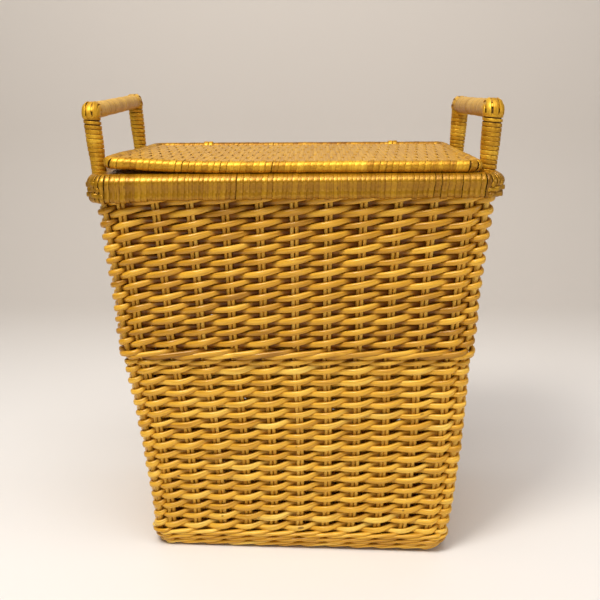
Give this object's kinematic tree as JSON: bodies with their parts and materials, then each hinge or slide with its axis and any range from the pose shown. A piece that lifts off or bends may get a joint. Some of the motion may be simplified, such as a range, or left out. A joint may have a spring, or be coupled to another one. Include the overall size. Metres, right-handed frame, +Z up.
{
  "type": "laundry hamper with lid",
  "caption": "Tapered rectangular wicker laundry hamper with a cane-wrapped rim, fixed squared arch handles on the short ends and a flat woven lid hinged along the back.",
  "frame": {"origin": "centre of the foot's outline on the floor", "axes": "+X along the long side to the right, the front faces -Y, +Z up"},
  "size_m": [0.514, 0.3419, 0.624],
  "materials": {
    "willow_weave": "satin varnished willow, honey yellow",
    "peeled_willow_stakes": "satin peeled willow, paler",
    "cane_wrap": "glossy golden varnish over flat cane",
    "lid_cane_weave": "satin varnished flat cane, tan",
    "round_rod": "plain rod, hidden under the wrapping"
  },
  "bodies": {
    "basket": {"base_sticks": "peeled_willow_stakes", "base_weave": "willow_weave", "foot_wale": "willow_weave", "lower_weave": "willow_weave", "waist_wale": "willow_weave", "upper_weave": "willow_weave", "stakes_front_01": "peeled_willow_stakes", "stakes_front_02": "peeled_willow_stakes", "stakes_front_03": "peeled_willow_stakes", "stakes_front_04": "peeled_willow_stakes", "stakes_front_05": "peeled_willow_stakes", "stakes_front_06": "peeled_willow_stakes", "stakes_front_07": "peeled_willow_stakes", "stakes_front_08": "peeled_willow_stakes", "stakes_front_09": "peeled_willow_stakes", "stakes_front_10": "peeled_willow_stakes", "stakes_front_11": "peeled_willow_stakes", "stakes_back_01": "peeled_willow_stakes", "stakes_back_02": "peeled_willow_stakes", "stakes_back_03": "peeled_willow_stakes", "stakes_back_04": "peeled_willow_stakes", "stakes_back_05": "peeled_willow_stakes", "stakes_back_06": "peeled_willow_stakes", "stakes_back_07": "peeled_willow_stakes", "stakes_back_08": "peeled_willow_stakes", "stakes_back_09": "peeled_willow_stakes", "stakes_back_10": "peeled_willow_stakes", "stakes_back_11": "peeled_willow_stakes", "stakes_left_01": "peeled_willow_stakes", "stakes_left_02": "peeled_willow_stakes", "stakes_left_03": "peeled_willow_stakes", "stakes_left_04": "peeled_willow_stakes", "stakes_left_05": "peeled_willow_stakes", "stakes_left_06": "peeled_willow_stakes", "stakes_left_07": "peeled_willow_stakes", "stakes_right_01": "peeled_willow_stakes", "stakes_right_02": "peeled_willow_stakes", "stakes_right_03": "peeled_willow_stakes", "stakes_right_04": "peeled_willow_stakes", "stakes_right_05": "peeled_willow_stakes", "stakes_right_06": "peeled_willow_stakes", "stakes_right_07": "peeled_willow_stakes", "corner_post_front_left": "peeled_willow_stakes", "corner_post_front_right": "peeled_willow_stakes", "corner_post_back_left": "peeled_willow_stakes", "corner_post_back_right": "peeled_willow_stakes", "rim_outer_hoop": "round_rod", "rim_inner_hoop": "round_rod", "rim_wrap": "cane_wrap", "handle_core_left": "round_rod", "handle_core_right": "round_rod", "handle_wrap_left": "cane_wrap", "handle_wrap_right": "cane_wrap", "hinge_loop_left": "cane_wrap", "hinge_loop_right": "cane_wrap"},
    "lid": {"lid_frame": "round_rod", "lid_wrap": "cane_wrap", "lid_weave": "lid_cane_weave", "lid_sticks": "peeled_willow_stakes"}
  },
  "joints": [
    {"name": "lid_hinge", "type": "hinge", "parent": "basket", "child": "lid", "pos_m": [0, 0.1502, 0.5468], "axis": [-1, 0, 0], "range_deg": [0, 110]}
  ]
}
